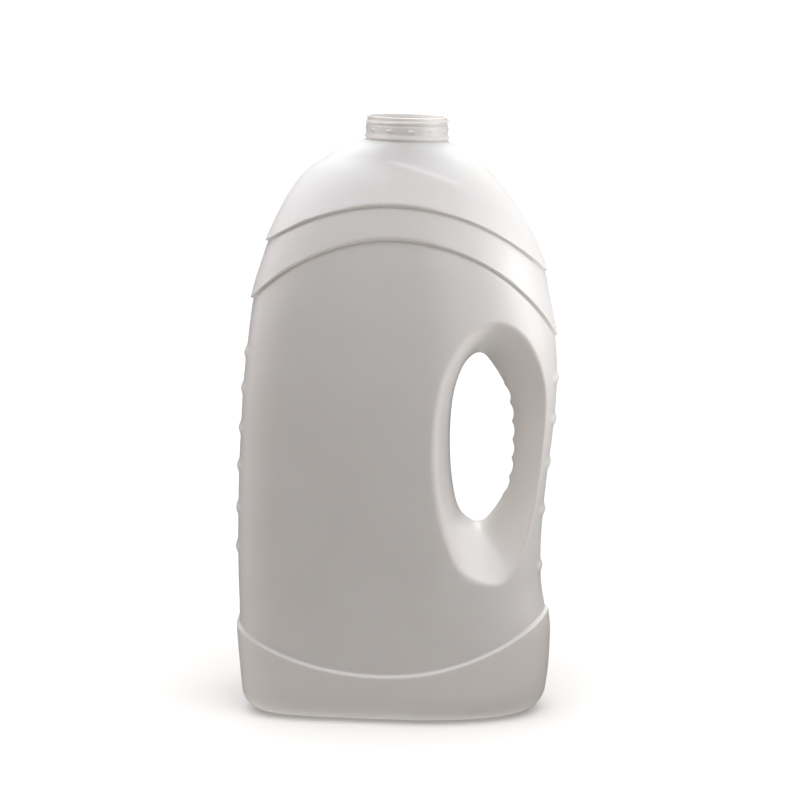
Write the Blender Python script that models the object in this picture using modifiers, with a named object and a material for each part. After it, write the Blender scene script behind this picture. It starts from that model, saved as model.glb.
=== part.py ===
"""Handled detergent bottle: a blow-moulded shell and the pouring fitment in its neck.

X is the width with the handle at +X, -Y is the front, and Z is up from the
surface that the bottle stands on. All sizes are in metres.
"""
import math
from functools import partial

import bmesh
import bpy
import numpy as np

MM = 0.001

# Bottle
WALL = 1.6 * MM
SHOULDER_TOP = 322 * MM
BASE_CORNER = 15 * MM
STANDING_RING = 21 * MM
PUSH_UP = 4.5 * MM
PUSH_UP_EDGE = 25 * MM
PUSH_UP_MIDDLE = 33 * MM
STEP = 1.8 * MM
STEP_EDGE = 1.9 * MM
STEP_FADE = 12 * MM

# Outlines of the bottle, in millimetres: height, then distance from the neck's axis
LEFT_SIDE = ((0, 82.0), (10, 82.6), (26, 84.2), (45, 86.0), (62, 86.8), (85, 87.8), (115, 88.2),
             (140, 88.0), (165, 87.2), (190, 86.0), (210, 84.2), (228, 82.4), (244, 80.0),
             (258, 76.4), (272, 72.2), (284, 67.4), (294, 62.1), (302, 56.2), (307.5, 50.5),
             (312, 43.2), (316.5, 35.8), (320, 28.0), (322, 22.6))
RIGHT_SIDE = ((0, 84.2), (10, 85.2), (24, 86.6), (38, 87.0), (50, 86.8), (60, 85.3), (72, 83.0),
              (95, 81.7), (115, 82.3), (138, 83.9), (160, 86.0), (185, 87.3), (208, 86.3),
              (224, 83.8), (240, 80.6), (254, 77.6), (268, 72.3), (282, 64.8), (294, 56.6),
              (304, 48.2), (312, 39.6), (318, 30.0), (322, 22.6))
HALF_DEPTH = ((0, 42.8), (10, 43.4), (40, 44.0), (90, 44.3), (150, 44.3), (200, 43.9), (235, 42.6),
              (262, 40.4), (285, 36.2), (300, 31.4), (312, 26.2), (322, 22.4))
# How square each half of the section is: 2 is an ellipse, 5 is a box with rounded corners
LEFT_SQUARENESS = ((0, 5.2), (150, 5.6), (220, 5.8), (262, 4.4), (290, 2.9), (310, 2.2), (322, 2.0))
RIGHT_SQUARENESS = ((0, 2.15), (220, 2.15), (290, 2.05), (322, 2.0))
SQUARENESS_BLEND = 0.45

# Overlapping tiers of the shoulder, and the band round the base: each edge is an arc of a circle
UPPER_TIER = {"centre": -6.0 * MM, "top": 288.7 * MM, "radius": 116 * MM}
LOWER_TIER = {"centre": -2.5 * MM, "top": 270.4 * MM, "radius": 102 * MM}
BASE_BAND = {"centre": -6.5 * MM, "bottom": 28.6 * MM, "radius": 158 * MM}

# Handle's hole and the lip of the hollow round it: X, then Z, in millimetres, at each twelfth of
# the way round from the right
HOLE = ((64.3, 156.5), (61.3, 180.7), (51.5, 198.5), (43.8, 205.0), (35.5, 198.5), (29.9, 180.7),
        (28.6, 156.5), (30.5, 132.2), (35.3, 114.5), (45.5, 108.2), (53.8, 114.5), (62.6, 132.2))
LIP = ((80.3, 152.0), (80.6, 189.0), (70.0, 215.5), (53.5, 226.5), (37.5, 217.5), (25.0, 192.0),
       (22.1, 155.0), (27.2, 117.5), (37.8, 90.0), (56.0, 80.2), (67.8, 88.5), (76.0, 115.0))
LIP_ROUNDING = 5 * MM
PINCH_STRAIGHT = 0.35

# Neck finish, in millimetres: height, then radius
NECK_PROFILE = ((322.8, 22.9), (324.5, 22.9), (325.3, 22.6), (328.0, 22.5), (330.2, 22.3),
                (330.8, 22.1), (331.4, 22.1), (332.0, 22.1), (332.7, 22.1), (333.4, 22.1),
                (334.0, 22.1), (334.5, 22.1), (335.0, 22.1))
THREAD_START = 331.4 * MM
THREAD_PITCH = 2.6 * MM
THREAD_TURNS = 1.0
THREAD_DEPTH = 0.7 * MM
THREAD_HALF_HEIGHT = 1.0 * MM
THREAD_FLANK = 1.6
THREAD_TAPER = 0.05

# Pouring fitment, in millimetres: radius, then height, once round its section from the top outside
FITMENT_PROFILE = ((20.0, 330.5), (20.0, 327.0), (20.2, 326.6), (20.2, 326.2), (20.0, 325.8),
                   (20.0, 317.4), (19.2, 316.2), (12.0, 315.2), (11.4, 313.6), (10.4, 313.6),
                   (10.4, 328.6), (11.2, 330.2), (11.8, 330.3), (11.9, 329.9), (11.6, 328.4),
                   (11.6, 317.4), (12.4, 316.6), (18.0, 317.4), (18.8, 318.4), (18.8, 330.5))
FITMENT_SIDES = 36
SPOUT_SLANT = math.radians(12)
SPOUT_TIP = 330.3 * MM
SPOUT_OUTSIDE = 12 * MM
GUTTER_FLOOR = 317.4 * MM
DRAIN_PLACE = 15.2 * MM
DRAIN_RADIUS = 1.8 * MM
CUTTER_SIDES = 32
CUTTER_RADIUS = 14.5 * MM
CUTTER_HEIGHT = 20 * MM

# Fineness of the bottle's mesh: columns round half of it, and the block of columns round the handle
COLUMNS = 24
SOLVER_STEPS = 30
MERGE = 0.001 * MM
BLOCK_LEFT = 13
BLOCK_RIGHT = 22
BLOCK_ROWS = 11
BLOCK_BOTTOM = 69 * MM
BLOCK_BELOW_TIER = 12 * MM
SHOULDER_ROWS = 5
SHOULDER_CROWDING = 1.6


def outline(points, position):
    """Smooth curve through (position, value) points in millimetres, for positions in metres."""
    knots, values = np.array(points, dtype=float).T * MM
    slopes = np.gradient(values, knots)
    place = np.clip(position, knots[0], knots[-1])
    left = np.clip(np.searchsorted(knots, place) - 1, 0, len(knots) - 2)
    width = knots[left + 1] - knots[left]
    t = (place - knots[left]) / width
    return (values[left] * (1 + 2 * t) * (1 - t) ** 2
            + values[left + 1] * t * t * (3 - 2 * t)
            + width * slopes[left] * t * (1 - t) ** 2
            + width * slopes[left + 1] * t * t * (t - 1))


def closed_outline(points, turn):
    """Point at a fraction of a turn round a closed smooth curve."""
    ring = np.array(points, dtype=float) * MM
    count = len(ring)
    first = int(math.floor(turn * count)) % count
    t = turn * count - math.floor(turn * count)
    before, start, end, after = (ring[(first + k) % count] for k in (-1, 0, 1, 2))
    start_slope = (end - before) / 2
    end_slope = (after - start) / 2
    return (start * (1 + 2 * t) * (1 - t) ** 2 + end * t * t * (3 - 2 * t)
            + start_slope * t * (1 - t) ** 2 + end_slope * t * t * (t - 1))


def ease(value):
    t = np.clip(value, 0, 1)
    return t * t * (3 - 2 * t)


def tier_edge(tier, x):
    """Height of a tier's lower edge: an arch."""
    drop = tier["radius"] - math.sqrt(tier["radius"] ** 2 - (x - tier["centre"]) ** 2)
    return tier["top"] - drop


def band_edge(x):
    """Height of the base band's upper edge: a hanging arc."""
    rise = BASE_BAND["radius"] - math.sqrt(BASE_BAND["radius"] ** 2 - (x - BASE_BAND["centre"]) ** 2)
    return BASE_BAND["bottom"] + rise


def section_point(angle, z, growth):
    """Point of the horizontal section at a height; angle runs from pi (left) to 0 (handle side)."""
    cosine, sine = math.cos(angle), math.sin(angle)
    side = LEFT_SIDE if cosine < 0 else RIGHT_SIDE
    half_width = outline(side, z) + growth
    half_depth = outline(HALF_DEPTH, z) + growth
    blend = ease(0.5 + cosine / (2 * SQUARENESS_BLEND))
    power = (outline(LEFT_SQUARENESS, z) * (1 - blend) + outline(RIGHT_SQUARENESS, z) * blend) / MM
    reach = (abs(cosine) ** power + abs(sine) ** power) ** (-1 / power)
    return half_width * reach * cosine, -half_depth * reach * sine


def proudness(x, z):
    """How far the skin stands proud of the plain outline."""
    proud = STEP * (1 - ease((z - band_edge(x)) / STEP_EDGE + 0.5))
    for tier in (LOWER_TIER, UPPER_TIER):
        above = z - tier_edge(tier, x)
        proud += STEP * ease(above / STEP_EDGE + 0.5) * math.exp(-max(above, 0) / STEP_FADE)
    return proud


def skin_point(angle, z):
    x, _ = section_point(angle, z, 0)
    x, y = section_point(angle, z, proudness(x, z))
    return np.array((x, y, z))


def base_row(inset, z):
    """Row of the base, inset from the outline."""
    def point(angle):
        x, y = section_point(angle, BASE_CORNER, STEP - inset)
        return np.array((x, y, z))
    return point


def height_row(height):
    """Row of the body where the height is a function of X."""
    def point(angle):
        z = height(0)
        for _ in range(SOLVER_STEPS):
            x, _ = section_point(angle, z, 0)
            z = (z + height(x)) / 2
        return skin_point(angle, z)
    return point


def rows_between(lower, upper, count, crowding=1.0):
    """Rows above one row up to another, crowded towards the upper one."""
    rows = []
    for step in range(1, count + 1):
        share = 1 - (1 - step / count) ** crowding
        rows.append(height_row(lambda x, t=share: lower(x) * (1 - t) + upper(x) * t))
    return rows


def base_rows():
    """The push-up, the flat ring that the bottle stands on, and the rounded corner."""
    rows = [base_row(PUSH_UP_MIDDLE, PUSH_UP), base_row(PUSH_UP_EDGE, 0.9 * PUSH_UP)]
    rows += [base_row(STANDING_RING, 0), base_row(BASE_CORNER, 0)]
    for degrees in (60, 35, 15, 0):
        turn = math.radians(degrees)
        rows.append(base_row(BASE_CORNER * (1 - math.cos(turn)), BASE_CORNER * (1 - math.sin(turn))))
    return rows


def flat(z):
    """Height function of a level row."""
    return lambda x: z


def beside(edge, rise):
    """Height function of a row that follows an edge."""
    return lambda x: edge(x) + rise


def body_rows():
    """Rows of the body, with the first and last rows of the block round the handle."""
    half = STEP_EDGE / 2
    lower_edge = partial(tier_edge, LOWER_TIER)
    upper_edge = partial(tier_edge, UPPER_TIER)
    block_top = beside(lower_edge, -BLOCK_BELOW_TIER)
    rows = rows_between(flat(BASE_CORNER), beside(band_edge, -half), 2)
    rows += rows_between(beside(band_edge, -half), beside(band_edge, half), 1)
    rows += rows_between(beside(band_edge, half), flat(BLOCK_BOTTOM), 1)
    first = len(rows) - 1
    rows += rows_between(flat(BLOCK_BOTTOM), block_top, BLOCK_ROWS)
    last = len(rows) - 1
    rows += rows_between(block_top, beside(lower_edge, -half), 1)
    rows += rows_between(beside(lower_edge, -half), beside(lower_edge, half), 1)
    rows += rows_between(beside(lower_edge, half), beside(upper_edge, -half), 2)
    rows += rows_between(beside(upper_edge, -half), beside(upper_edge, half), 1)
    rows += rows_between(beside(upper_edge, half), flat(SHOULDER_TOP), SHOULDER_ROWS, SHOULDER_CROWDING)
    return rows, first, last


def thread_relief(azimuth, z):
    """How far the one-start thread stands out; azimuth is in turns from the back, anticlockwise."""
    off_centre = (z - THREAD_START - THREAD_PITCH * azimuth) / THREAD_HALF_HEIGHT
    taper = ease(azimuth / THREAD_TAPER) * ease((THREAD_TURNS - azimuth) / THREAD_TAPER)
    return THREAD_DEPTH * taper * ease(THREAD_FLANK * (1 - abs(off_centre)))


def neck_point(angle, side, z, radius):
    azimuth = (math.atan2(side * math.sin(angle), math.cos(angle)) / math.tau - 0.25) % 1.0
    reach = radius + thread_relief(azimuth, z)
    return np.array((reach * math.cos(angle), side * reach * math.sin(angle), z))


def bezier(start, middle, end, t):
    return (1 - t) ** 2 * start + 2 * t * (1 - t) * middle + t * t * end


def angle_at(x, z):
    """Angle of the skin's point that has the given X, at the handle's side."""
    low, high = 0.0, 0.75 * math.pi
    for _ in range(SOLVER_STEPS):
        middle = (low + high) / 2
        if skin_point(middle, z)[0] > x:
            low = middle
        else:
            high = middle
    return (low + high) / 2


def handle_ray(place, turn):
    """Points from the block's edge, over the lip and down the wall to the hole at mid-depth."""
    edge_angle, edge_z = place
    hole_x, hole_z = closed_outline(HOLE, turn)
    lip_x, lip_z = closed_outline(LIP, turn)
    lip_angle = angle_at(lip_x, lip_z)
    hole = np.array((hole_x, 0, hole_z))
    lip = skin_point(lip_angle, lip_z)
    straight = hole + np.array((0, lip[1] * PINCH_STRAIGHT, 0))
    reach = np.linalg.norm(skin_point(edge_angle, edge_z) - lip)
    start = min(LIP_ROUNDING / reach, 0.7)
    depth = 1 - LIP_ROUNDING / np.linalg.norm(lip - hole)

    def on_skin(share):
        return skin_point(lip_angle + share * (edge_angle - lip_angle), lip_z + share * (edge_z - lip_z))

    points = [on_skin((1 + start) / 2), on_skin(start)]
    wall_start = bezier(hole, straight, lip, depth)
    points += [bezier(points[-1], lip, wall_start, t) for t in (1 / 3, 2 / 3, 1)]
    points += [bezier(hole, straight, lip, depth * t) for t in (2 / 3, 1 / 3, 0)]
    return points


def block_border(first, last):
    """Row and column of each grid point round the block, anticlockwise from the front."""
    border = [(row, BLOCK_RIGHT) for row in range(first, last)]
    border += [(last, column) for column in range(BLOCK_RIGHT, BLOCK_LEFT, -1)]
    border += [(row, BLOCK_LEFT) for row in range(last, first, -1)]
    border += [(first, column) for column in range(BLOCK_LEFT, BLOCK_RIGHT)]
    return border


def border_turn(row, column, first, last):
    """Fraction of a turn, from the handle's side, of a point on the block's border."""
    across = 2 * (column - BLOCK_LEFT) / (BLOCK_RIGHT - BLOCK_LEFT) - 1
    up = 2 * (row - first) / (last - first) - 1
    return (math.atan2(up, across) / math.tau) % 1.0


def add_half(mesh, side):
    """Front (side -1) or back (side 1) half of the skin, with the handle's wall."""
    angles = [math.pi * (1 - column / COLUMNS) for column in range(COLUMNS + 1)]
    body, first, last = body_rows()
    base = base_rows()
    first, last = first + len(base), last + len(base)
    mirror = np.array((1, -side, 1))
    grid = [[row(angle) for angle in angles] for row in base + body]
    places = {(row, column): (angles[column], grid[row][column][2])
              for row, column in block_border(first, last)}
    verts = [[mesh.verts.new(point * mirror) for point in row] for row in grid]
    for z, radius in NECK_PROFILE:
        verts.append([mesh.verts.new(neck_point(angle, side, z * MM, radius * MM)) for angle in angles])
    pole = mesh.verts.new((0, 0, PUSH_UP))
    for column in range(COLUMNS):
        mesh.faces.new((pole, verts[0][column + 1], verts[0][column]))
    for row in range(len(verts) - 1):
        for column in range(COLUMNS):
            if first <= row < last and BLOCK_LEFT <= column < BLOCK_RIGHT:
                continue
            mesh.faces.new((verts[row][column], verts[row][column + 1],
                            verts[row + 1][column + 1], verts[row + 1][column]))
    rays = []
    for row, column in block_border(first, last):
        turn = border_turn(row, column, first, last)
        points = handle_ray(places[row, column], turn)
        rays.append([verts[row][column]] + [mesh.verts.new(point * mirror) for point in points])
    for ray, following in zip(rays, rays[1:] + rays[:1]):
        for ring in range(len(ray) - 1):
            mesh.faces.new((ray[ring], following[ring], following[ring + 1], ray[ring + 1]))


def new_material(name, colour, roughness):
    material = bpy.data.materials.new(name)
    material.use_nodes = True
    shader = material.node_tree.nodes["Principled BSDF"]
    shader.inputs["Base Color"].default_value = (*colour, 1)
    shader.inputs["Roughness"].default_value = roughness
    shader.inputs["Metallic"].default_value = 0
    return material


def new_object(name, mesh, collection, material=None):
    thing = bpy.data.objects.new(name, mesh)
    collection.objects.link(thing)
    if material:
        mesh.materials.append(material)
    return thing


def make_bottle(collection):
    """Blow-moulded shell: one open skin with an even wall inside it."""
    skin = bmesh.new()
    add_half(skin, -1)
    add_half(skin, 1)
    bmesh.ops.remove_doubles(skin, verts=skin.verts, dist=MERGE)
    bmesh.ops.recalc_face_normals(skin, faces=skin.faces)
    mesh = bpy.data.meshes.new("bottle")
    skin.to_mesh(mesh)
    skin.free()
    mesh.shade_smooth()
    plastic = new_material("white_polyethylene", (0.80, 0.79, 0.77), 0.38)
    bottle = new_object("bottle", mesh, collection, plastic)
    wall = bottle.modifiers.new("wall", "SOLIDIFY")
    wall.thickness = WALL
    wall.offset = -1
    wall.use_even_offset = True
    return bottle


def new_cutter(name, collection, radius, height, place, tilt=0.0):
    mesh = bpy.data.meshes.new(name)
    solid = bmesh.new()
    bmesh.ops.create_cone(solid, cap_ends=True, segments=CUTTER_SIDES, radius1=radius, radius2=radius,
                          depth=height)
    solid.to_mesh(mesh)
    solid.free()
    cutter = new_object(name, mesh, collection)
    cutter.location = place
    cutter.rotation_euler = (0, tilt, 0)
    cutter.display_type = "WIRE"
    cutter.hide_render = True
    return cutter


def cut(thing, cutter):
    modifier = thing.modifiers.new(cutter.name, "BOOLEAN")
    modifier.object = cutter
    modifier.operation = "DIFFERENCE"
    modifier.solver = "EXACT"


def make_pour_spout(collection, cutters):
    """Turned collar, gutter and tube, with a slanted tip and a drain hole."""
    profile = bmesh.new()
    corners = [profile.verts.new((radius * MM, 0, z * MM)) for radius, z in FITMENT_PROFILE]
    for corner, following in zip(corners, corners[1:] + corners[:1]):
        profile.edges.new((corner, following))
    mesh = bpy.data.meshes.new("pour_spout")
    profile.to_mesh(mesh)
    profile.free()
    plastic = new_material("natural_polyethylene", (0.86, 0.86, 0.84), 0.42)
    spout = new_object("pour_spout", mesh, collection, plastic)
    turned = spout.modifiers.new("turned", "SCREW")
    turned.steps = FITMENT_SIDES
    turned.render_steps = FITMENT_SIDES
    turned.use_merge_vertices = True
    turned.merge_threshold = MERGE
    lift = CUTTER_HEIGHT / 2
    tip = SPOUT_TIP - SPOUT_OUTSIDE * math.tan(SPOUT_SLANT)
    place = (lift * math.sin(SPOUT_SLANT), 0, tip + lift * math.cos(SPOUT_SLANT))
    cut(spout, new_cutter("slant_cutter", cutters, CUTTER_RADIUS, CUTTER_HEIGHT, place, SPOUT_SLANT))
    drain = (DRAIN_PLACE, 0, GUTTER_FLOOR)
    cut(spout, new_cutter("drain_cutter", cutters, DRAIN_RADIUS, CUTTER_HEIGHT / 2, drain))
    return spout


def main():
    for thing in list(bpy.data.objects):
        bpy.data.objects.remove(thing, do_unlink=True)
    collection = bpy.data.collections.new("detergent_dispenser_bottle")
    cutters = bpy.data.collections.new("cutters")
    bpy.context.scene.collection.children.link(collection)
    bpy.context.scene.collection.children.link(cutters)
    make_bottle(collection)
    make_pour_spout(collection, cutters)


main()
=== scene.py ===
"""Looks of the handled detergent bottle: fine blow-moulded shell, pouring fitment, light and camera.

X is the width with the handle at +X, -Y is the front, and Z is up. All sizes are in metres; the
outline tables are in millimetres.
"""
import math

import bmesh
import bpy
import numpy as np
from mathutils import Matrix, Vector


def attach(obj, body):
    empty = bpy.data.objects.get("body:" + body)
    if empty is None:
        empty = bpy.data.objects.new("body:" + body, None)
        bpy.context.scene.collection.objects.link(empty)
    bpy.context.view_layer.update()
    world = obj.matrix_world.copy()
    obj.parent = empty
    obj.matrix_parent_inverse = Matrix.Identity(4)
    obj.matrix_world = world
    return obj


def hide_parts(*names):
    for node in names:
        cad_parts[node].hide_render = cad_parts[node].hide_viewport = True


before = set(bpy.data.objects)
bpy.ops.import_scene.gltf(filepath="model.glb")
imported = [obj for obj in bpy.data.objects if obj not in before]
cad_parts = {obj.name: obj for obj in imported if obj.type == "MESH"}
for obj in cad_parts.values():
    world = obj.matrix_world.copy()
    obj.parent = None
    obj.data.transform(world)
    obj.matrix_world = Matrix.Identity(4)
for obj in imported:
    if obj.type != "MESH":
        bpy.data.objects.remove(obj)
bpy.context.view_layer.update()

MM = 0.001

# The bottle's own shape: the CAD model's outlines, with the tiers, the base band and the lip refined
WALL = 1.6 * MM
SHOULDER_TOP = 322 * MM
BASE_CORNER = 15 * MM
PUSH_UP = 4.5 * MM
STEP = 1.8 * MM
STEP_EDGE = 1.9 * MM
STEP_FADE = 12 * MM
SIDE_BLEND = 0.45
LEFT_SIDE = ((0, 82.0), (10, 82.6), (26, 84.2), (45, 86.0), (62, 86.8), (85, 87.8), (115, 88.2),
             (140, 88.0), (165, 87.2), (190, 86.0), (210, 84.2), (228, 82.4), (244, 80.0),
             (258, 76.4), (272, 72.2), (284, 67.4), (294, 62.1), (302, 56.2), (307.5, 50.5),
             (312, 43.2), (316.5, 35.8), (320, 28.0), (322, 22.6))
RIGHT_SIDE = ((0, 84.2), (10, 85.2), (24, 86.6), (38, 87.0), (50, 86.8), (60, 85.3), (72, 83.0),
              (95, 81.7), (115, 82.3), (138, 83.9), (160, 86.0), (185, 87.3), (208, 86.3),
              (224, 83.8), (240, 80.6), (254, 77.6), (268, 72.3), (282, 64.8), (294, 56.6),
              (304, 48.2), (312, 39.6), (318, 30.0), (322, 22.6))
HALF_DEPTH = ((0, 42.8), (10, 43.4), (40, 44.0), (90, 44.3), (150, 44.3), (200, 43.9), (235, 42.6),
              (262, 40.4), (285, 36.2), (300, 31.4), (312, 26.2), (322, 22.4))
LEFT_SQUARENESS = ((0, 5.2), (150, 5.6), (220, 5.8), (262, 4.4), (290, 2.9), (310, 2.2), (322, 2.0))
RIGHT_SQUARENESS = ((0, 2.15), (220, 2.15), (290, 2.05), (322, 2.0))
UPPER_TIER = {"centre": -5.6 * MM, "top": 288.8 * MM, "radius": 114.8 * MM}
LOWER_TIER = {"centre": -4.2 * MM, "top": 271.0 * MM, "radius": 100.4 * MM}
BASE_BAND = {"centre": -6.6 * MM, "bottom": 28.4 * MM, "radius": 152.2 * MM}
HOLE = ((64.3, 156.5), (61.3, 180.7), (51.5, 198.5), (43.8, 205.0), (35.5, 198.5), (29.9, 180.7),
        (28.6, 156.5), (30.5, 132.2), (35.3, 114.5), (45.5, 108.2), (53.8, 114.5), (62.6, 132.2))
LIP = ((80.3, 152.0), (80.6, 189.0), (70.0, 215.5), (53.5, 226.5), (37.5, 217.5), (25.0, 192.0),
       (22.1, 155.0), (27.2, 117.5), (37.8, 90.0), (56.0, 80.2), (67.8, 88.5), (76.0, 115.0))
LIP_ROUNDING = 1.7 * MM
LIP_ROUNDING_LEFT = 4.2 * MM
PINCH_STRAIGHT = 0.35

# Base, from its middle out to the corner: inset from the outline in millimetres, and share of the push-up
PUSH_UP_INSETS = (42, 38, 33, 28)
INNER_PUSH_UP_INSETS = (36, 30)
PUSH_UP_SLOPE = ((25, 0.9), (23.5, 0.6), (22.3, 0.2), (21, 0))
PINCH_DEPTH = 0.5 * MM
PINCH_HALF_WIDTH = 1.2 * MM

# Details that the CAD model leaves out
TOP_TIER = {"centre": -39 * MM, "top": 314.5 * MM, "radius": 174 * MM}
TOP_LEDGE = 0.35 * MM
TOP_LEDGE_WIDTH = 2.2 * MM
TOP_LEDGE_FADE = 7 * MM
TOP_LEDGE_ENDS = (-12 * MM, 36 * MM)
TOP_LEDGE_END_FADE = 10 * MM
TIER_GROOVE = 0.3 * MM
TIER_GROOVE_HALF_WIDTH = 0.8 * MM
RIB_HEIGHT = 1.2 * MM
RIB_HALF_WIDTH = 4.5 * MM
LEFT_RIBS = (95, 117, 141, 162.5, 185, 205)
RIGHT_RIBS = (84.5, 116.8, 143.8, 168.6, 192.2)
RIB_START = 0.965
RIB_BLEND = 0.03
SEAM_HEIGHT = 0.18 * MM
SEAM_HALF_WIDTH = 0.35 * MM
GRIP_PITCH = 10.5 * MM
GRIP_FIRST = 129.7 * MM
GRIP_COUNT = 6
GRIP_DEPTH = 1.5 * MM
GRIP_END_BLEND = 0.4
GRIP_SIDE = 50 * MM
GRIP_SIDE_BLEND = 8 * MM

# Neck finish: its profile is height, then radius, in millimetres
NECK_PROFILE = ((322.0, 22.6), (322.5, 22.4), (322.9, 22.9), (324.6, 22.9), (325.2, 22.6),
                (328.0, 22.5), (330.2, 22.4), (330.8, 22.1), (335.0, 22.1))
BORE = 20.5 * MM
RIM = 335 * MM
RIM_ROUNDING = 0.3 * MM
THREAD_START = 331.0 * MM
THREAD_PITCH = 2.6 * MM
THREAD_TURNS = 1.0
THREAD_DEPTH = 0.85 * MM
THREAD_HALF_HEIGHT = 1.0 * MM
THREAD_UNDERSIDE = 0.3 * MM
THREAD_TOP = 0.9 * MM
THREAD_TAPER = 0.05
LUG_COUNT = 12
LUG_PHASE = math.radians(7)
LUG_HEIGHT = 327.4 * MM
LUG_DEPTH = 0.7 * MM
LUG_TOP = 1.5 * MM
LUG_UNDERSIDE = 0.3 * MM

# Pouring fitment, in millimetres: radius, then height, once round its section from the top outside
FITMENT_PROFILE = ((20.0, 330.5), (20.0, 327.0), (20.2, 326.6), (20.2, 326.2), (20.0, 325.8),
                   (20.0, 317.4), (19.2, 316.2), (12.0, 315.2), (11.4, 313.6), (10.4, 313.6),
                   (10.4, 328.6), (11.2, 330.2), (11.8, 330.3), (11.9, 329.9), (11.6, 328.4),
                   (11.6, 317.4), (12.4, 316.6), (18.0, 317.4), (18.8, 318.4), (18.8, 330.5))
FITMENT_SIDES = 96
FITMENT_ROUNDING = 0.15 * MM
SPOUT_SLANT = math.radians(12)
SPOUT_TIP = 330.3 * MM
SPOUT_CENTRE = 12 * MM
DRAIN_PLACE = 15.2 * MM
DRAIN_RADIUS = 1.8 * MM
CUTTER_RADIUS = 14.5 * MM
CUTTER_HEIGHT = 20 * MM

# Fineness of the shell's mesh, and where the block of its mesh round the handle's hole lies
COLUMN_STEPS = 110
ROW_SPACING = 1.5 * MM
INNER_ROW_SPACING = 12 * MM
SHOULDER_ROWS = 44
INNER_SHOULDER_ROWS = 8
SHOULDER_CROWDING = 1.5
ROWS_COUNTED_AT = 20 * MM
NECK_ROWS = 56
LEVEL_TURNS = 30
SEAM_COLUMNS = (0.2, 0.45, 0.8)
BLOCK_ANGLES = (math.radians(82.5), math.radians(15))
BLOCK_BOTTOM = 69 * MM
BLOCK_BELOW_TIER = 12 * MM
BLOCK_MIDDLE = 55 * MM

# The two plastics: name, two shades, roughness, subsurface weight and height of the slow waves
SHELL_PLASTIC = ("white_polyethylene_skin", ((0.715, 0.690, 0.672), (0.755, 0.732, 0.715)),
                 0.42, 0.35, 0.5 * MM)
FITMENT_PLASTIC = ("natural_polyethylene_skin", ((0.76, 0.755, 0.73), (0.80, 0.795, 0.775)),
                   0.45, 0.25, 0.2 * MM)
FLOW_LINE_HEIGHT = 0.02 * MM
PEEL_HEIGHT = 0.012 * MM
RUB_ROUGHNESS = 0.16
SCATTER_DEPTH = 4 * MM

# Camera: in front, slightly above, turned a little clockwise
CAMERA_YAW = math.radians(2.0)
CAMERA_PITCH = math.radians(-10.405)
CAMERA_ROLL = math.radians(1.5)
CAMERA_DISTANCE = 1.3
CAMERA_HEIGHT = 0.415
CAMERA_LENS = 105.98

# Studio: the floor has a light of its own, and the lights below reach only the bottle
FLOOR_HALF_SIZE = 200.0
FLOOR_COLOUR = (0.80, 0.80, 0.80)
FLOOR_SUN = ("floor_light", 0, 80, 1.48, (1.0, 0.99, 0.985))
FLOOR_SUN_SPREAD = math.radians(100)
SUN_SPREAD = math.radians(35)
BOUNCE = 1.0
BOUNCE_COLOUR = (1.0, 0.97, 0.925)
BOUNCE_BELOW = -0.6

# Suns: name, azimuth (0 in front, 90 at the handle), elevation, radiance and colour
SUNS = (("back_top_light", 180, 60, 0.84, (0.98, 1.0, 0.965)),
        ("front_top_light", 0, 60, 0.226, (1.06, 1.0, 0.955)),
        ("left_front_light", -45, 8, 0.209, (1.08, 1.0, 0.95)),
        ("left_light", -90, 8, 0.215, (1.0, 1.0, 0.99)),
        ("right_light", 90, 8, 0.21, (1.15, 1.0, 0.92)))

# Soft boxes: name, place, size, power and colour
SOFT_BOXES = (("top_box", (0.0, -0.05, 0.8), 0.5, 1.8, (0.91, 1.0, 1.08)),
              ("right_box", (0.3, -0.1, 0.3), 0.15, 0.57, (0.965, 1.0, 1.035)),
              ("near_left_box", (-0.25, -0.1, 0.5), 0.3, 0.24, (1.0, 1.0, 1.15)))
BOX_TARGET = (0.04, 0.0, 0.25)
FLOOR_GLOW_PLACE = (0.0, -0.09, 0.002)
FLOOR_GLOW_SIZE = (0.24, 0.07)
FLOOR_GLOW_POWER = 0.011


def outline(points, position):
    """Smooth curve through (position, value) points in millimetres, for positions in metres."""
    knots, values = np.array(points, dtype=float).T * MM
    slopes = np.gradient(values, knots)
    place = np.clip(position, knots[0], knots[-1])
    left = np.clip(np.searchsorted(knots, place) - 1, 0, len(knots) - 2)
    width = knots[left + 1] - knots[left]
    t = (place - knots[left]) / width
    return (values[left] * (1 + 2 * t) * (1 - t) ** 2
            + values[left + 1] * t * t * (3 - 2 * t)
            + width * slopes[left] * t * (1 - t) ** 2
            + width * slopes[left + 1] * t * t * (t - 1))


def closed_outline(points, turn, growth):
    """Points at fractions of a turn round a closed smooth curve, moved outwards by growth."""
    ring = np.array(points, dtype=float) * MM
    count = len(ring)
    first = np.floor(turn * count).astype(int) % count
    t = (turn * count - np.floor(turn * count))[:, None]
    before, start, end, after = (ring[(first + k) % count] for k in (-1, 0, 1, 2))
    start_slope = (end - before) / 2
    end_slope = (after - start) / 2
    point = (start * (1 + 2 * t) * (1 - t) ** 2 + end * t * t * (3 - 2 * t)
             + start_slope * t * (1 - t) ** 2 + end_slope * t * t * (t - 1))
    slope = (6 * t * t - 6 * t) * (start - end)
    slope += start_slope * (1 - t) * (1 - 3 * t) + end_slope * t * (3 * t - 2)
    outwards = np.stack((slope[:, 1], -slope[:, 0]), axis=1)
    return point + growth * outwards / np.linalg.norm(outwards, axis=1)[:, None]


def ease(value):
    """Smooth step from 0 to 1, level at both ends."""
    t = np.clip(value, 0, 1)
    return t * t * (3 - 2 * t)


def tier_edge(tier, x):
    """Height of a tier's lower edge: an arch."""
    drop = tier["radius"] - np.sqrt(np.maximum(tier["radius"] ** 2 - (x - tier["centre"]) ** 2, MM ** 2))
    return tier["top"] - drop


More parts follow.
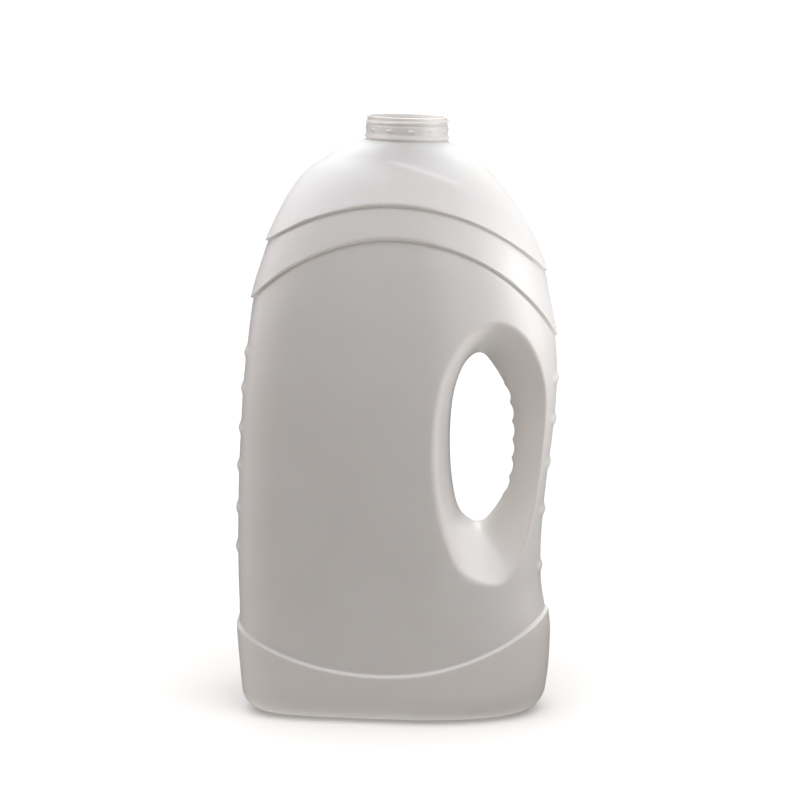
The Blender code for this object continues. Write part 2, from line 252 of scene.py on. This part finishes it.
def band_edge(x):
    """Height of the base band's upper edge: a hanging arc."""
    rise = BASE_BAND["radius"] - np.sqrt(BASE_BAND["radius"] ** 2 - (x - BASE_BAND["centre"]) ** 2)
    return BASE_BAND["bottom"] + rise


def rib_relief(x, z):
    """Relief of the level ribs across the narrow sides; each is a rounded swelling."""
    relief = 0 * x
    for outer, ribs in ((-x / outline(LEFT_SIDE, z), LEFT_RIBS), (x / outline(RIGHT_SIDE, z), RIGHT_RIBS)):
        strength = ease((outer - RIB_START) / RIB_BLEND)
        for height in ribs:
            across = np.abs(z - height * MM) / RIB_HALF_WIDTH
            relief = relief + RIB_HEIGHT * strength * ease(1 - across)
    return relief


def section_point(angle, z, growth):
    """Point of the horizontal section at a height; angle runs from pi (left) to 0 (handle side)."""
    cosine, sine = np.cos(angle), np.sin(angle)
    half_width = np.where(cosine < 0, outline(LEFT_SIDE, z), outline(RIGHT_SIDE, z)) + growth
    half_depth = outline(HALF_DEPTH, z) + growth
    blend = ease((cosine + SIDE_BLEND) / (2 * SIDE_BLEND))
    power = (outline(LEFT_SQUARENESS, z) * (1 - blend) + outline(RIGHT_SQUARENESS, z) * blend) / MM
    reach = (np.abs(cosine) ** power + np.abs(sine) ** power) ** (-1 / power)
    return half_width * reach * cosine, -half_depth * reach * sine


def overlap(above):
    """Relief of a tier whose lower edge stands proud and fades upwards."""
    rise = ease(above / STEP_EDGE + 0.5)
    return STEP * rise * np.exp(-np.maximum(above - STEP_EDGE / 2, 0) / STEP_FADE)


def faint_ledge(above):
    """Relief that stands proud just below an edge and fades downwards."""
    rise = 1 - ease(above / TOP_LEDGE_WIDTH + 0.5)
    return TOP_LEDGE * rise * np.exp(-np.maximum(-above - TOP_LEDGE_WIDTH / 2, 0) / TOP_LEDGE_FADE)


def proudness(x, z):
    """How far the skin stands proud of the plain outline."""
    proud = STEP * (1 - ease((z - band_edge(x)) / STEP_EDGE + 0.5))
    for tier in (LOWER_TIER, UPPER_TIER):
        above = z - tier_edge(tier, x)
        proud = proud + overlap(above)
        proud = proud - TIER_GROOVE * np.exp(-((above + STEP_EDGE / 2) / TIER_GROOVE_HALF_WIDTH) ** 2)
    start, end = TOP_LEDGE_ENDS
    reach = ease((x - start) / TOP_LEDGE_END_FADE) * ease((end - x) / TOP_LEDGE_END_FADE)
    proud = proud + reach * faint_ledge(z - tier_edge(TOP_TIER, x))
    return proud + rib_relief(x, z)


def seam_relief(y):
    """Relief of the mould's parting line at mid-depth."""
    return SEAM_HEIGHT * np.exp(-(y / SEAM_HALF_WIDTH) ** 2)


def skin_point(angle, z, inset=0.0):
    """Points of the outer skin, or of the plain inner skin when inset is the wall."""
    x, y = section_point(angle, z, -inset)
    if inset == 0:
        x, y = section_point(angle, z, proudness(x, z))
        x, y = section_point(angle, z, proudness(x, z) + seam_relief(y))
    return np.stack((x, y, z + 0 * x), axis=-1)


def row_points(angles, height, inset):
    """A row of the body where the height is a function of X."""
    z = height(0 * angles) + 0 * angles
    for _ in range(LEVEL_TURNS):
        x, _ = section_point(angles, z, -inset)
        z = (z + height(x)) / 2
    return skin_point(angles, z, inset)


def base_points(angles, inset, z, growth, pinch=0.0):
    """A row of the base, inset from the outline, with the pinched seam along mid-depth."""
    x, y = section_point(angles, BASE_CORNER + 0 * angles, growth - inset)
    seam = pinch * np.exp(-(y / PINCH_HALF_WIDTH) ** 2)
    return np.stack((x, y, z - seam), axis=-1)


def mix(lower, upper, share):
    """Row heights that lie a share of the way from one row up to another."""
    return lambda x: lower(x) * (1 - share) + upper(x) * share


def spread(lower, upper, count, crowding=1.0):
    """Row heights above one row up to another, crowded towards the upper one."""
    return [mix(lower, upper, 1 - (1 - step / count) ** crowding) for step in range(1, count + 1)]


def across_edge(edge, count):
    """Row heights over the short slope of a tier's edge, from just below to just above it."""
    half = STEP_EDGE / 2
    return [lambda x, h=half * (2 * step / count - 1): edge(x) + h for step in range(count + 1)]


def body_heights(fine):
    """Row heights of the body from the base's corner up, with the block's first and last rows."""
    edges = (band_edge, lambda x: tier_edge(LOWER_TIER, x), lambda x: tier_edge(UPPER_TIER, x))
    top = lambda x: tier_edge(LOWER_TIER, x) - BLOCK_BELOW_TIER
    heights = []
    below = lambda x: BASE_CORNER + 0 * x
    spacing = ROW_SPACING if fine else INNER_ROW_SPACING
    for edge in edges:
        slope = across_edge(edge, 4 if fine else 1)
        gap = slope[0](np.array(ROWS_COUNTED_AT)) - below(np.array(ROWS_COUNTED_AT))
        heights += spread(below, slope[0], max(1, round(float(gap) / spacing)))[:-1] + slope
        below = slope[-1]
    count = SHOULDER_ROWS if fine else INNER_SHOULDER_ROWS
    heights += spread(below, lambda x: SHOULDER_TOP + 0 * x, count, SHOULDER_CROWDING)
    middle = np.array(BLOCK_MIDDLE)
    levels = np.array([float(height(middle)) for height in heights])
    first = int(np.argmin(abs(levels - BLOCK_BOTTOM)))
    last = int(np.argmin(abs(levels - float(top(middle)))))
    return heights, first, last


def thread_relief(azimuth, z):
    """How far the one-start thread stands out; azimuth is in turns from the back, anticlockwise."""
    middle = THREAD_START + THREAD_PITCH * azimuth
    taper = ease(azimuth / THREAD_TAPER) * ease((THREAD_TURNS - azimuth) / THREAD_TAPER)
    underside = ease((z - middle + THREAD_HALF_HEIGHT) / THREAD_UNDERSIDE)
    top = ease((middle + THREAD_HALF_HEIGHT - z) / THREAD_TOP)
    return THREAD_DEPTH * taper * underside * top


def lug_relief(azimuth, z):
    """Small ratchet lugs round the neck, flat below and sloping above."""
    phase = (azimuth * math.tau - LUG_PHASE) * LUG_COUNT / math.tau
    around = (phase + 0.5) % 1.0 - 0.5
    across = ease(1.5 - np.abs(around) * 9)
    above = z - LUG_HEIGHT
    return LUG_DEPTH * across * ease(above / LUG_UNDERSIDE + 0.5) * ease((LUG_TOP - above) / LUG_TOP)


def neck_points(angles, side, z):
    """Half a ring of the neck's outside, with its thread and lugs."""
    azimuth = (np.arctan2(side * np.sin(angles), np.cos(angles)) / math.tau - 0.25) % 1.0
    reach = outline(NECK_PROFILE, z) + thread_relief(azimuth, z) + lug_relief(azimuth, z)
    return np.stack((reach * np.cos(angles), side * reach * np.sin(angles), z + 0 * angles), axis=-1)


def ring_points(angles, side, radius, z):
    """Half a plain ring."""
    return np.stack((radius * np.cos(angles), side * radius * np.sin(angles), z + 0 * angles), axis=-1)


def column_angles():
    """Angles of the columns from the left's mid-depth to the handle side's, closer at both ends."""
    step = math.pi / COLUMN_STEPS
    inner = [math.pi - step * k for k in range(1, COLUMN_STEPS)]
    near = [step * share for share in SEAM_COLUMNS]
    return np.array([math.pi] + [math.pi - a for a in near] + inner + near[::-1] + [0.0])


def bezier(start, middle, end, t):
    """Point of a curve that leaves its start and reaches its end on the lines to its middle."""
    return (1 - t) ** 2 * start + 2 * t * (1 - t) * middle + t * t * end


def angles_at(x, z, inset):
    """Angles of the skin's points that have the given X, at the handle's side."""
    low, high = 0 * x, 0 * x + 0.75 * math.pi
    for _ in range(40):
        middle = (low + high) / 2
        beyond = skin_point(middle, z, inset)[:, 0] > x
        low = np.where(beyond, middle, low)
        high = np.where(beyond, high, middle)
    return (low + high) / 2


def grip_waves(points):
    """How far the finger grips push the hole's handle side outwards at each of its points."""
    along = (points[:, 1] - GRIP_FIRST) / GRIP_PITCH
    inside = ease((along + 0.7) / GRIP_END_BLEND) * ease((GRIP_COUNT - 0.3 - along) / GRIP_END_BLEND)
    handle_side = ease((points[:, 0] - GRIP_SIDE) / GRIP_SIDE_BLEND)
    return GRIP_DEPTH * inside * handle_side * (np.abs(np.cos(math.pi * along)) - 0.5)


def handle_rings(edge_angles, edge_heights, turns, inset, fine):
    """Rings of points from the block's border, over the lip and down the wall to the hole."""
    hole_flat = closed_outline(HOLE, turns, inset)
    lip_flat = closed_outline(LIP, turns, inset)
    lip_angles = angles_at(lip_flat[:, 0], lip_flat[:, 1], inset)
    lip = skin_point(lip_angles, lip_flat[:, 1], inset)
    hole = np.stack((hole_flat[:, 0], 0 * turns, hole_flat[:, 1]), axis=1)
    straight = hole + np.stack((0 * turns, lip[:, 1] * PINCH_STRAIGHT, 0 * turns), axis=1)
    border = skin_point(edge_angles, edge_heights, inset)
    leftness = ease(-2 * np.cos(turns * math.tau))
    rounding = LIP_ROUNDING + (LIP_ROUNDING_LEFT - LIP_ROUNDING) * leftness
    start = np.minimum(rounding / np.linalg.norm(border - lip, axis=1), 0.7)
    depth = (1 - rounding / np.linalg.norm(lip - hole, axis=1))[:, None]

    def on_skin(share):
        angle = lip_angles + share * (edge_angles - lip_angles)
        height = lip_flat[:, 1] + share * (edge_heights - lip_flat[:, 1])
        return skin_point(angle, height, inset)

    outer, across, wall = (9, 8, 16) if fine else (2, 2, 4)
    rings = [on_skin(1 + (start - 1) * k / outer) for k in range(1, outer + 1)]
    brink = rings[-1]
    wall_start = bezier(hole, straight, lip, depth)
    rings += [bezier(brink, lip, wall_start, k / across) for k in range(1, across + 1)]
    for k in range(1, wall + 1):
        t = (1 - k / wall) ** 1.3
        ring = bezier(hole, straight, lip, depth * t)
        if fine:
            ring[:, 0] += grip_waves(hole_flat) * (1 - t) ** 4
        rings.append(ring)
    rings[-1][:, 1] = 0
    return rings


def add_skin(mesh, side, angles, fine):
    """Half a skin from the base's pole up; returns the vertices of its top row."""
    inset = 0.0 if fine else WALL
    growth = STEP if fine else STEP - WALL
    floor = 0.0 if fine else WALL
    pinch = PINCH_DEPTH if fine else 0.0
    corner = BASE_CORNER - (0 if fine else WALL)
    mirror = np.array((1, -side, 1))
    rows = [base_points(angles, inset_mm * MM, PUSH_UP + floor, growth, pinch)
            for inset_mm in (PUSH_UP_INSETS if fine else INNER_PUSH_UP_INSETS)]
    rows += [base_points(angles, inset_mm * MM, rise * PUSH_UP + floor, growth, pinch * rise)
             for inset_mm, rise in PUSH_UP_SLOPE]
    rows.append(base_points(angles, corner, floor, growth))
    for degrees in (75, 60, 45, 30, 15, 0):
        turn = math.radians(degrees)
        rows.append(base_points(angles, corner * (1 - math.cos(turn)),
                                BASE_CORNER - corner * math.sin(turn), growth))
    heights, first, last = body_heights(fine)
    first, last = first + len(rows), last + len(rows)
    rows += [row_points(angles, height, inset) for height in heights]
    left = int(np.argmin(abs(angles - BLOCK_ANGLES[0])))
    right = int(np.argmin(abs(angles - BLOCK_ANGLES[1])))
    flat = [row * mirror for row in rows]
    if fine:
        top = np.linspace(SHOULDER_TOP, RIM - RIM_ROUNDING, NECK_ROWS)[1:]
        flat += [neck_points(angles, side, z) for z in top]
        land = NECK_PROFILE[-1][1] * MM
        for degrees in (45, 90):
            turn = math.radians(degrees)
            flat.append(ring_points(angles, side, land - RIM_ROUNDING * (1 - math.cos(turn)),
                                    RIM - RIM_ROUNDING * (1 - math.sin(turn))))
        flat += [ring_points(angles, side, BORE + RIM_ROUNDING, RIM),
                 ring_points(angles, side, BORE + 0.3 * RIM_ROUNDING, RIM - 0.3 * RIM_ROUNDING),
                 ring_points(angles, side, BORE, RIM - RIM_ROUNDING),
                 ring_points(angles, side, BORE, RIM - 4 * MM),
                 ring_points(angles, side, BORE, RIM - 8 * MM)]
    verts = [[mesh.verts.new(point) for point in row] for row in flat]
    pole = mesh.verts.new((0, 0, PUSH_UP + floor - pinch))
    for column in range(len(angles) - 1):
        mesh.faces.new((pole, verts[0][column + 1], verts[0][column]))
    for row in range(len(verts) - 1):
        for column in range(len(angles) - 1):
            if first <= row < last and left <= column < right:
                continue
            mesh.faces.new((verts[row][column], verts[row][column + 1],
                            verts[row + 1][column + 1], verts[row + 1][column]))
    border = [(row, right) for row in range(first, last)]
    border += [(last, column) for column in range(right, left, -1)]
    border += [(row, left) for row in range(last, first, -1)]
    border += [(first, column) for column in range(left, right)]
    edge_angles = np.array([angles[column] for _, column in border])
    edge_heights = np.array([rows[row][column][2] for row, column in border])
    across = np.array([2 * (column - left) / (right - left) - 1 for _, column in border])
    up = np.array([2 * (row - first) / (last - first) - 1 for row, _ in border])
    turns = (np.arctan2(up, across) / math.tau) % 1.0
    rings = handle_rings(edge_angles, edge_heights, turns, inset, fine)
    around = [[verts[row][column] for row, column in border]]
    around += [[mesh.verts.new(point) for point in ring * mirror] for ring in rings]
    for outer, inner in zip(around, around[1:]):
        for k in range(len(border)):
            following = (k + 1) % len(border)
            mesh.faces.new((outer[k], outer[following], inner[following], inner[k]))
    return verts[-1]


def smooth_object(name, mesh, sharp_degrees):
    """New object with rounded shading from a bmesh."""
    data = bpy.data.meshes.new(name)
    mesh.to_mesh(data)
    mesh.free()
    data.shade_smooth()
    data.set_sharp_from_angle(angle=math.radians(sharp_degrees))
    thing = bpy.data.objects.new(name, data)
    bpy.context.scene.collection.objects.link(thing)
    return thing


def make_shell():
    """The blow-moulded bottle: outer skin, rim, bore and inner skin as one closed body."""
    mesh = bmesh.new()
    angles = column_angles()
    for side in (-1, 1):
        outer = add_skin(mesh, side, angles, True)
        inner = add_skin(mesh, side, angles, False)
        for column in range(len(angles) - 1):
            mesh.faces.new((outer[column], outer[column + 1], inner[column + 1], inner[column]))
    bmesh.ops.remove_doubles(mesh, verts=mesh.verts, dist=0.002 * MM)
    bmesh.ops.recalc_face_normals(mesh, faces=mesh.faces)
    return smooth_object("bottle_shell", mesh, 50)


def cut_with_cylinder(thing, radius, height, place, tilt):
    """Cut a tilted cylinder out of a piece."""
    solid = bmesh.new()
    turn = Matrix.Translation(place) @ Matrix.Rotation(tilt, 4, "Y")
    bmesh.ops.create_cone(solid, cap_ends=True, segments=72, radius1=radius, radius2=radius,
                          depth=height, matrix=turn)
    data = bpy.data.meshes.new("cutter")
    solid.to_mesh(data)
    solid.free()
    cutter = bpy.data.objects.new("cutter", data)
    bpy.context.scene.collection.objects.link(cutter)
    modifier = thing.modifiers.new("cut", "BOOLEAN")
    modifier.object = cutter
    modifier.solver = "EXACT"
    apply_modifiers(thing)
    bpy.data.objects.remove(cutter, do_unlink=True)


def apply_modifiers(thing):
    """Make a piece's mesh what its modifiers show."""
    graph = bpy.context.evaluated_depsgraph_get()
    data = bpy.data.meshes.new_from_object(thing.evaluated_get(graph))
    thing.modifiers.clear()
    thing.data = data


def make_fitment():
    """Turned collar, gutter and tube, with a slanted tip, a drain hole and softened edges."""
    mesh = bmesh.new()
    corners = [mesh.verts.new((radius * MM, 0, z * MM)) for radius, z in FITMENT_PROFILE]
    for corner, following in zip(corners, corners[1:] + corners[:1]):
        mesh.edges.new((corner, following))
    bmesh.ops.spin(mesh, geom=mesh.verts[:] + mesh.edges[:], cent=(0, 0, 0), axis=(0, 0, 1),
                   angle=math.tau, steps=FITMENT_SIDES, use_merge=True)
    bmesh.ops.remove_doubles(mesh, verts=mesh.verts, dist=0.001 * MM)
    bmesh.ops.recalc_face_normals(mesh, faces=mesh.faces)
    thing = smooth_object("pour_fitment", mesh, 40)
    lift = CUTTER_HEIGHT / 2
    tip = SPOUT_TIP - SPOUT_CENTRE * math.tan(SPOUT_SLANT)
    place = Vector((lift * math.sin(SPOUT_SLANT), 0, tip + lift * math.cos(SPOUT_SLANT)))
    cut_with_cylinder(thing, CUTTER_RADIUS, CUTTER_HEIGHT, place, SPOUT_SLANT)
    drain = Vector((DRAIN_PLACE, 0, FITMENT_PROFILE[5][1] * MM))
    cut_with_cylinder(thing, DRAIN_RADIUS, CUTTER_HEIGHT / 2, drain, 0)
    bevel = thing.modifiers.new("rounding", "BEVEL")
    bevel.width = FITMENT_ROUNDING
    bevel.segments = 2
    bevel.limit_method = "ANGLE"
    bevel.angle_limit = math.radians(35)
    apply_modifiers(thing)
    thing.data.shade_smooth()
    return thing


def add_node(tree, kind, inputs=None, **settings):
    """New shader node; each input is a value or another node's output."""
    node = tree.nodes.new(kind)
    for name, value in settings.items():
        setattr(node, name, value)
    for name, value in (inputs or {}).items():
        if isinstance(value, bpy.types.NodeSocket):
            tree.links.new(value, node.inputs[name])
        else:
            node.inputs[name].default_value = value
    return node


def plastic(name, colours, roughness, subsurface, waviness):
    """Moulded polyethylene: fine orange peel, slow waves, faint flow lines down it and small rubs."""
    material = bpy.data.materials.new(name)
    material.use_nodes = True
    tree = material.node_tree
    shader = tree.nodes["Principled BSDF"]
    place = add_node(tree, "ShaderNodeTexCoord").outputs["Object"]
    stretched = add_node(tree, "ShaderNodeMapping", {"Vector": place, "Scale": (1, 1, 0.06)})
    tilted = add_node(tree, "ShaderNodeMapping", {"Vector": place, "Rotation": (0.4, 0.5, 0.2),
                                                  "Scale": (1, 1, 0.12)})
    cloud = add_node(tree, "ShaderNodeTexNoise", {"Vector": place, "Scale": 28.0, "Detail": 3.0})
    peel = add_node(tree, "ShaderNodeTexNoise", {"Vector": place, "Scale": 900.0, "Detail": 2.0})
    waves = add_node(tree, "ShaderNodeTexNoise", {"Vector": place, "Scale": 38.0, "Detail": 1.0})
    flow = add_node(tree, "ShaderNodeTexNoise",
                    {"Vector": stretched.outputs["Vector"], "Scale": 170.0, "Detail": 3.0})
    rubs = add_node(tree, "ShaderNodeTexNoise",
                    {"Vector": tilted.outputs["Vector"], "Scale": 420.0, "Detail": 4.0})
    rubbed = add_node(tree, "ShaderNodeMapRange", {"Value": rubs.outputs["Fac"], "From Min": 0.66,
                                                   "From Max": 0.74, "To Min": 0.0, "To Max": 1.0})
    colour = add_node(tree, "ShaderNodeMix", data_type="RGBA")
    tree.links.new(cloud.outputs["Fac"], colour.inputs["Factor"])
    colour.inputs[6].default_value = (*colours[0], 1)
    colour.inputs[7].default_value = (*colours[1], 1)
    tree.links.new(colour.outputs[2], shader.inputs["Base Color"])
    dull = add_node(tree, "ShaderNodeMapRange", {"Value": cloud.outputs["Fac"], "From Min": 0.3,
                                                 "From Max": 0.7, "To Min": roughness - 0.05,
                                                 "To Max": roughness + 0.05})
    worn = add_node(tree, "ShaderNodeMath", {0: rubbed.outputs["Result"], 1: RUB_ROUGHNESS},
                    operation="MULTIPLY")
    total = add_node(tree, "ShaderNodeMath", {0: dull.outputs["Result"], 1: worn.outputs["Value"]},
                     operation="ADD")
    tree.links.new(total.outputs["Value"], shader.inputs["Roughness"])
    shader.inputs["IOR"].default_value = 1.54
    shader.inputs["Subsurface Weight"].default_value = subsurface
    shader.inputs["Subsurface Radius"].default_value = (1.0, 0.8, 0.65)
    shader.inputs["Subsurface Scale"].default_value = SCATTER_DEPTH
    bump = None
    for source, height in ((waves, waviness), (flow, FLOW_LINE_HEIGHT), (peel, PEEL_HEIGHT)):
        inputs = {"Height": source.outputs["Fac"], "Distance": height, "Strength": 1.0}
        if bump:
            inputs["Normal"] = bump.outputs["Normal"]
        bump = add_node(tree, "ShaderNodeBump", inputs)
    tree.links.new(bump.outputs["Normal"], shader.inputs["Normal"])
    return material


def make_floor():
    """Very large pale floor."""
    mesh = bmesh.new()
    bmesh.ops.create_grid(mesh, x_segments=8, y_segments=8, size=FLOOR_HALF_SIZE)
    floor = smooth_object("studio_floor", mesh, 30)
    material = bpy.data.materials.new("pale_floor")
    material.use_nodes = True
    tree = material.node_tree
    shader = tree.nodes["Principled BSDF"]
    place = add_node(tree, "ShaderNodeTexCoord").outputs["Object"]
    grain = add_node(tree, "ShaderNodeTexNoise", {"Vector": place, "Scale": 600.0, "Detail": 2.0})
    rough = add_node(tree, "ShaderNodeMapRange", {"Value": grain.outputs["Fac"], "To Min": 0.7,
                                                  "To Max": 0.9})
    tree.links.new(rough.outputs["Result"], shader.inputs["Roughness"])
    shader.inputs["Base Color"].default_value = (*FLOOR_COLOUR, 1)
    shader.inputs["Specular IOR Level"].default_value = 0.1
    floor.data.materials.append(material)
    floor.visible_diffuse = False
    floor.visible_glossy = False
    floor.visible_shadow = False
    return floor


def make_world():
    """Black studio with the floor's glow from below; the camera sees a pale backdrop."""
    world = bpy.data.worlds.new("studio")
    world.use_nodes = True
    bpy.context.scene.world = world
    tree = world.node_tree
    towards = add_node(tree, "ShaderNodeTexCoord").outputs["Generated"]
    height = add_node(tree, "ShaderNodeSeparateXYZ", {"Vector": towards}).outputs["Z"]
    below = add_node(tree, "ShaderNodeMath", {0: height, 1: BOUNCE_BELOW}, operation="LESS_THAN")
    strength = add_node(tree, "ShaderNodeMath", {0: below.outputs["Value"], 1: BOUNCE},
                        operation="MULTIPLY")
    bounce = tree.nodes["Background"]
    bounce.inputs["Color"].default_value = (*BOUNCE_COLOUR, 1)
    tree.links.new(strength.outputs["Value"], bounce.inputs["Strength"])
    backdrop = add_node(tree, "ShaderNodeBackground", {"Color": (1, 1, 1, 1), "Strength": 1.0})
    seen = add_node(tree, "ShaderNodeLightPath").outputs["Is Camera Ray"]
    chosen = add_node(tree, "ShaderNodeMixShader", {"Fac": seen})
    tree.links.new(bounce.outputs["Background"], chosen.inputs[1])
    tree.links.new(backdrop.outputs["Background"], chosen.inputs[2])
    tree.links.new(chosen.outputs["Shader"], tree.nodes["World Output"].inputs["Surface"])


def link_light(light, name, things):
    """Let a light reach only these things."""
    receivers = bpy.data.collections.new(name)
    for thing in things:
        receivers.objects.link(thing)
    light.light_linking.receiver_collection = receivers


def add_area_light(name, place, target, size, power, colour, things):
    """Soft light that points at a place; the camera doesn't see it."""
    data = bpy.data.lights.new(name, "AREA")
    data.shape = "RECTANGLE"
    data.size, data.size_y = size
    data.energy = power
    data.color = colour
    light = bpy.data.objects.new(name, data)
    light.location = place
    light.rotation_euler = (Vector(place) - Vector(target)).to_track_quat("Z", "Y").to_euler()
    light.visible_camera = False
    bpy.context.scene.collection.objects.link(light)
    link_light(light, name + "_receivers", things)


def add_sun(name, azimuth, elevation, radiance, colour, things):
    """Broad distant light; azimuth 0 is in front and 90 at the handle's side, in degrees."""
    turn, rise = math.radians(azimuth), math.radians(elevation)
    data = bpy.data.lights.new(name, "SUN")
    data.energy = math.pi * radiance
    data.angle = SUN_SPREAD
    data.color = colour
    light = bpy.data.objects.new(name, data)
    towards = Vector((math.sin(turn) * math.cos(rise), -math.cos(turn) * math.cos(rise), math.sin(rise)))
    light.rotation_euler = towards.to_track_quat("Z", "Y").to_euler()
    bpy.context.scene.collection.objects.link(light)
    link_light(light, name + "_receivers", things)
    return light


def make_camera():
    """Camera in front of the bottle, looking slightly down, turned a little clockwise."""
    yaw, pitch, roll = CAMERA_YAW, CAMERA_PITCH, CAMERA_ROLL
    forward = Vector((-math.sin(yaw) * math.cos(pitch), math.cos(yaw) * math.cos(pitch),
                      math.sin(pitch)))
    level = forward.cross(Vector((0, 0, 1))).normalized()
    upright = level.cross(forward)
    right = math.cos(roll) * level + math.sin(roll) * upright
    up = math.cos(roll) * upright - math.sin(roll) * level
    place = Vector((CAMERA_DISTANCE * math.sin(yaw), -CAMERA_DISTANCE * math.cos(yaw),
                    CAMERA_HEIGHT))
    data = bpy.data.cameras.new("photo_camera")
    data.sensor_width = 36
    data.lens = CAMERA_LENS
    camera = bpy.data.objects.new("photo_camera", data)
    turn = Matrix((right, up, -forward)).transposed().to_4x4()
    camera.matrix_world = Matrix.Translation(place) @ turn
    bpy.context.scene.collection.objects.link(camera)
    bpy.context.scene.camera = camera


make_camera()
bpy.context.scene.view_settings.view_transform = "Standard"

shell = make_shell()
shell.data.materials.append(plastic(*SHELL_PLASTIC))
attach(shell, "bottle")
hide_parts("bottle")

fitment = make_fitment()
fitment.data.materials.append(plastic(*FITMENT_PLASTIC))
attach(fitment, "pour_spout")
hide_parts("pour_spout")

floor = make_floor()
make_world()
floor_sun = add_sun(*FLOOR_SUN, (floor,))
floor_sun.data.angle = FLOOR_SUN_SPREAD
pieces = (shell, fitment)
for sun in SUNS:
    add_sun(*sun, pieces)
for name, place, size, power, colour in SOFT_BOXES:
    add_area_light(name, place, BOX_TARGET, (size, size), power, colour, pieces)
above_glow = Vector(FLOOR_GLOW_PLACE) + Vector((0, 0, 1))
add_area_light("floor_glow", FLOOR_GLOW_PLACE, above_glow, FLOOR_GLOW_SIZE, FLOOR_GLOW_POWER, (1, 1, 1),
               pieces)
